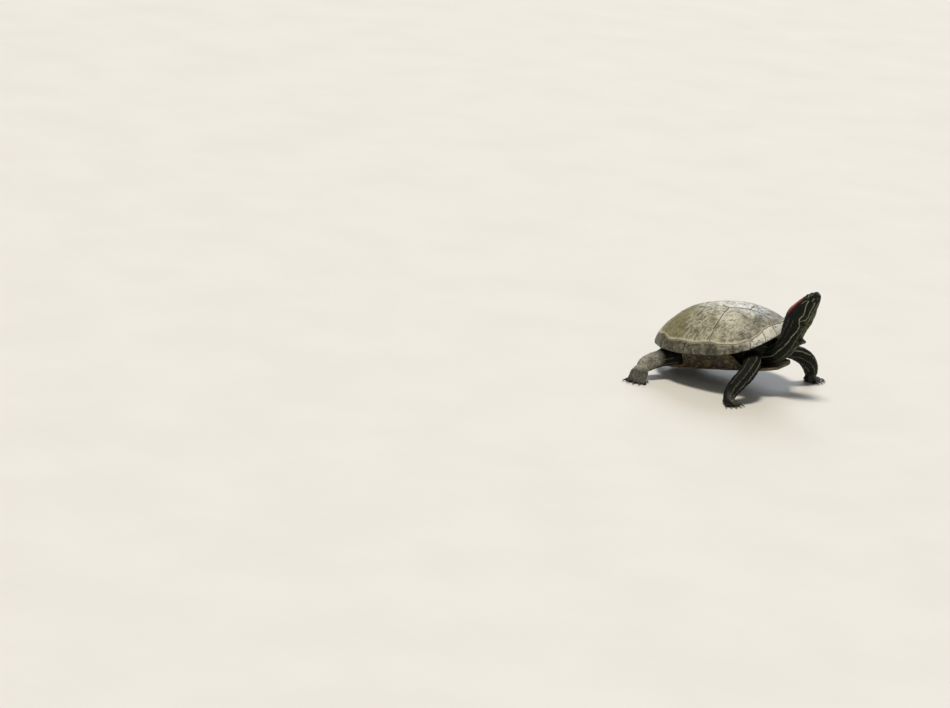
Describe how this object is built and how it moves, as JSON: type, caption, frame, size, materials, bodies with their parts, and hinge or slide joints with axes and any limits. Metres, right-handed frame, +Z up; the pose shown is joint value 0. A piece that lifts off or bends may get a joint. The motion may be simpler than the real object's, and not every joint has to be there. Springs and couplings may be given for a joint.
{
  "type": "red-eared slider turtle",
  "caption": "Life-size model of a red-eared slider turtle standing on four spread feet with its neck stretched up and its snout raised.",
  "frame": {"origin": "on the floor under the middle of the whole animal's box", "axes": "+Z up, +X towards the head, +Y to the turtle's left"},
  "size_m": [0.3158, 0.2856, 0.1874],
  "materials": {
    "skin": "damp, finely scaled, dark green with yellow stripes",
    "shell": "dry worn horn with dust and algae",
    "plastron": "smooth yellow horn with dark blotches",
    "claw": "smooth horn",
    "eye": "wet"
  },
  "bodies": {
    "root": {"carapace": "shell", "plastron": "plastron", "trunk": "skin", "neck": "skin", "head": "skin", "lower_jaw": "skin", "eye_left": "eye", "eye_right": "eye", "tail": "skin", "foreleg_left_upper": "skin", "foreleg_left_lower": "skin", "forefoot_left": "skin", "forefoot_left_claw_1": "claw", "forefoot_left_claw_2": "claw", "forefoot_left_claw_3": "claw", "forefoot_left_claw_4": "claw", "forefoot_left_claw_5": "claw", "foreleg_right_upper": "skin", "foreleg_right_lower": "skin", "forefoot_right": "skin", "forefoot_right_claw_1": "claw", "forefoot_right_claw_2": "claw", "forefoot_right_claw_3": "claw", "forefoot_right_claw_4": "claw", "forefoot_right_claw_5": "claw", "hindleg_left_upper": "skin", "hindleg_left_lower": "skin", "hindfoot_left": "skin", "hindfoot_left_claw_1": "claw", "hindfoot_left_claw_2": "claw", "hindfoot_left_claw_3": "claw", "hindfoot_left_claw_4": "claw", "hindleg_right_upper": "skin", "hindleg_right_lower": "skin", "hindfoot_right": "skin", "hindfoot_right_claw_1": "claw", "hindfoot_right_claw_2": "claw", "hindfoot_right_claw_3": "claw", "hindfoot_right_claw_4": "claw"}
  },
  "joints": []
}
